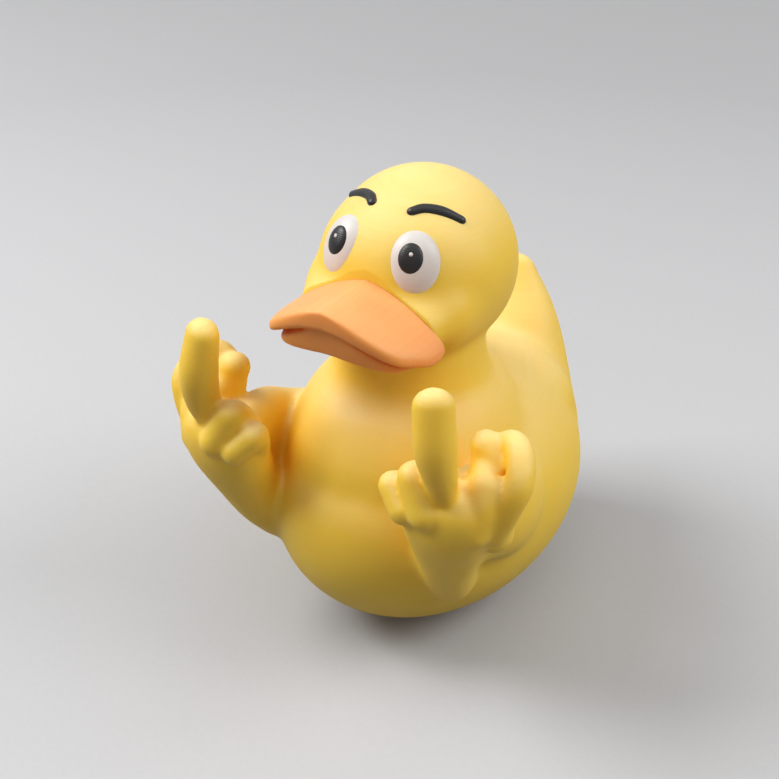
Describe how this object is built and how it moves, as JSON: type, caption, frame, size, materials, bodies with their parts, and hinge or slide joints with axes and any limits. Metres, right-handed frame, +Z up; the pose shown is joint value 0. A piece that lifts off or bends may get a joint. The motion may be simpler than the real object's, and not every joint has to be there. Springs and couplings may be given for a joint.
{
  "type": "toy duck figure",
  "caption": "Plastic duck figure with an orange beak and domed eyes, whose wings end in hands with a raised middle finger; it stands on a small flat under its body.",
  "frame": {"origin": "middle of the flat under the body, on the surface that the duck stands on", "axes": "+Z up, -Y the way the beak points, +X the duck's left"},
  "size_m": [0.0651, 0.0733, 0.0788],
  "materials": {
    "yellow_plastic": "fine horizontal print layers",
    "orange_plastic": "fine horizontal print layers",
    "white_plastic": "smooth satin",
    "black_plastic": "fine print layers"
  },
  "bodies": {
    "root": {"body": "yellow_plastic", "beak": "orange_plastic", "eye_left": "white_plastic", "eye_right": "white_plastic", "eye_glint_left": "white_plastic", "eye_glint_right": "white_plastic", "pupil_left": "black_plastic", "pupil_right": "black_plastic", "eyebrow_left": "black_plastic", "eyebrow_right": "black_plastic"}
  },
  "joints": []
}
